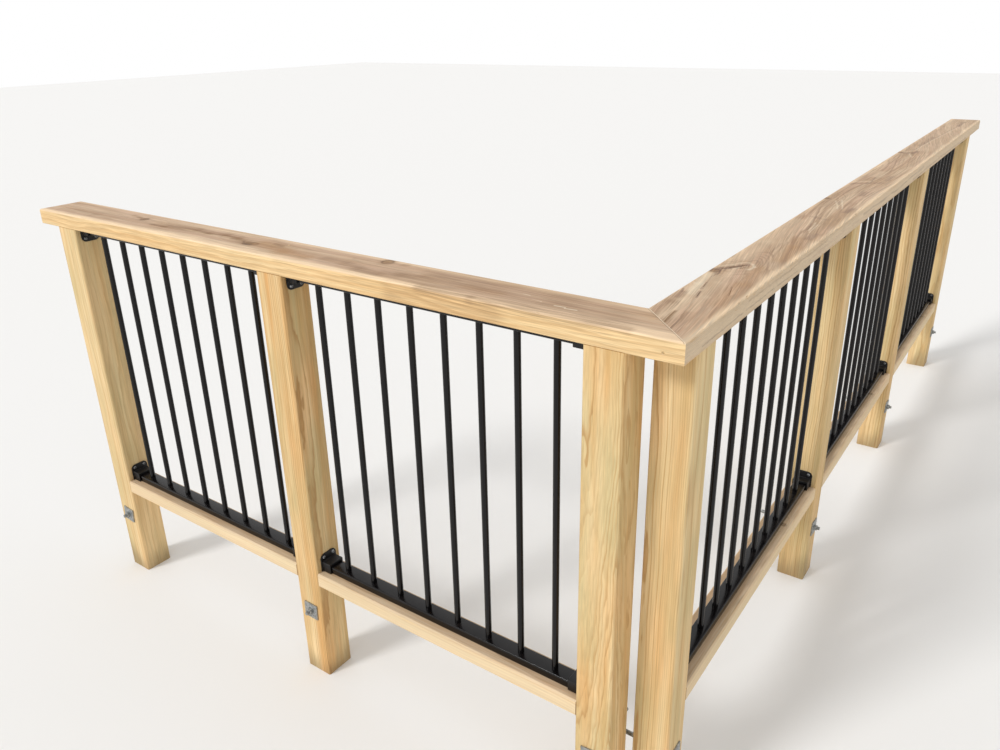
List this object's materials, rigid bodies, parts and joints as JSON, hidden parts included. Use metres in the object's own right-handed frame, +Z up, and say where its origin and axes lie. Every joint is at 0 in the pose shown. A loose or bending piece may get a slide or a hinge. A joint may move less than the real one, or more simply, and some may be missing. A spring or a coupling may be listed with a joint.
{
  "type": "timber balustrade",
  "caption": "L-shaped timber balustrade for a stairwell corner, with mitred top rails, posts anchored to a wall and round-bar infill panels in end brackets.",
  "frame": {"origin": "middle of the foot of the long run's corner post", "axes": "+Z up; +Y along the long run away from the corner; +X to the long run's outer side; the short run goes along -X with its outer side to -Y"},
  "size_m": [2.184, 3.821, 1.3],
  "materials": {
    "treated_pine": "satin",
    "black_aluminium": "gloss",
    "black_bracket": "gloss",
    "zinc_steel": "satin"
  },
  "bodies": {
    "root": {"short_run_corner_post": "treated_pine", "short_run_corner_anchor": "zinc_steel", "short_run_middle_post": "treated_pine", "short_run_middle_anchor": "zinc_steel", "short_run_end_post": "treated_pine", "short_run_end_anchor": "zinc_steel", "short_run_top_rail": "treated_pine", "long_run_corner_post": "treated_pine", "long_run_corner_anchor": "zinc_steel", "long_run_second_post": "treated_pine", "long_run_second_anchor": "zinc_steel", "long_run_third_post": "treated_pine", "long_run_third_anchor": "zinc_steel", "long_run_end_post": "treated_pine", "long_run_end_anchor": "zinc_steel", "long_run_top_rail": "treated_pine", "bay_1_base_rail": "treated_pine", "bay_1_foot_rail": "black_aluminium", "bay_1_head_rail": "black_aluminium", "bay_1_bars": "black_aluminium", "bay_1_brackets": "black_bracket", "bay_2_base_rail": "treated_pine", "bay_2_foot_rail": "black_aluminium", "bay_2_head_rail": "black_aluminium", "bay_2_bars": "black_aluminium", "bay_2_brackets": "black_bracket", "bay_3_base_rail": "treated_pine", "bay_3_foot_rail": "black_aluminium", "bay_3_head_rail": "black_aluminium", "bay_3_bars": "black_aluminium", "bay_3_brackets": "black_bracket", "bay_4_base_rail": "treated_pine", "bay_4_foot_rail": "black_aluminium", "bay_4_head_rail": "black_aluminium", "bay_4_bars": "black_aluminium", "bay_4_brackets": "black_bracket", "bay_5_base_rail": "treated_pine", "bay_5_foot_rail": "black_aluminium", "bay_5_head_rail": "black_aluminium", "bay_5_bars": "black_aluminium", "bay_5_brackets": "black_bracket"}
  },
  "joints": []
}
